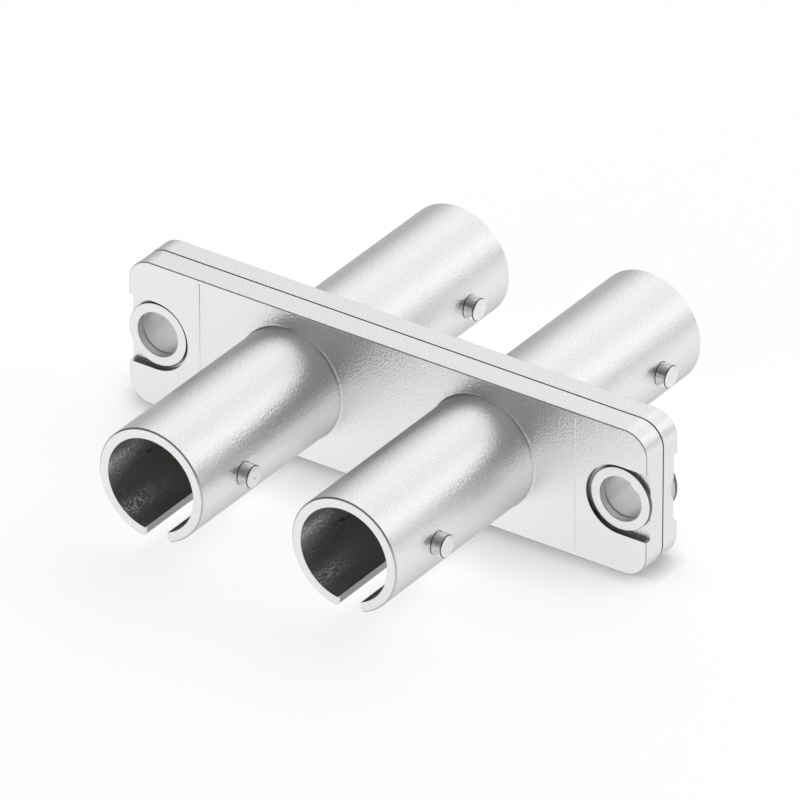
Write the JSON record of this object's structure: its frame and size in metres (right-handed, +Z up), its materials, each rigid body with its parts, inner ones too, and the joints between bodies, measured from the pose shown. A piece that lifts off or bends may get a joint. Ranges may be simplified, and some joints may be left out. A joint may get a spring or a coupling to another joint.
{
  "type": "duplex fibre optic adapter",
  "caption": "Metal fibre optic coupler: a rectangular flange with bayonet barrels on both sides, hollow rivets at its ends and split sleeves inside that line up the ferrules.",
  "frame": {"origin": "centre of the seam between the two housing halves, midway between the two optical axes, which is also the centre of the bounding box", "axes": "+X along the flange to the right as seen from the front, +Y along the optical axes from the front mouths to the rear mouths, +Z up; the bayonet keyways open downwards, towards -Z"},
  "size_m": [0.0344, 0.0294, 0.009],
  "materials": {
    "cast_housing": "zinc die casting, satin nickel plated, finely grained",
    "lug_pin": "turned stainless pin, bright",
    "rivet": "nickel plated tubular rivet",
    "split_sleeve": "phosphor bronze, slit along its length",
    "sleeve_holder": "turned brass, nickel plated"
  },
  "bodies": {
    "root": {"front_housing": "cast_housing", "rear_housing": "cast_housing", "lug_front_left_barrel_left": "lug_pin", "lug_front_left_barrel_right": "lug_pin", "lug_front_right_barrel_left": "lug_pin", "lug_front_right_barrel_right": "lug_pin", "lug_rear_left_barrel_left": "lug_pin", "lug_rear_left_barrel_right": "lug_pin", "lug_rear_right_barrel_left": "lug_pin", "lug_rear_right_barrel_right": "lug_pin", "rivet_left": "rivet", "rivet_right": "rivet", "split_sleeve_left": "split_sleeve", "split_sleeve_right": "split_sleeve", "sleeve_holder_front_left": "sleeve_holder", "sleeve_holder_front_right": "sleeve_holder", "sleeve_holder_rear_left": "sleeve_holder", "sleeve_holder_rear_right": "sleeve_holder"}
  },
  "joints": []
}
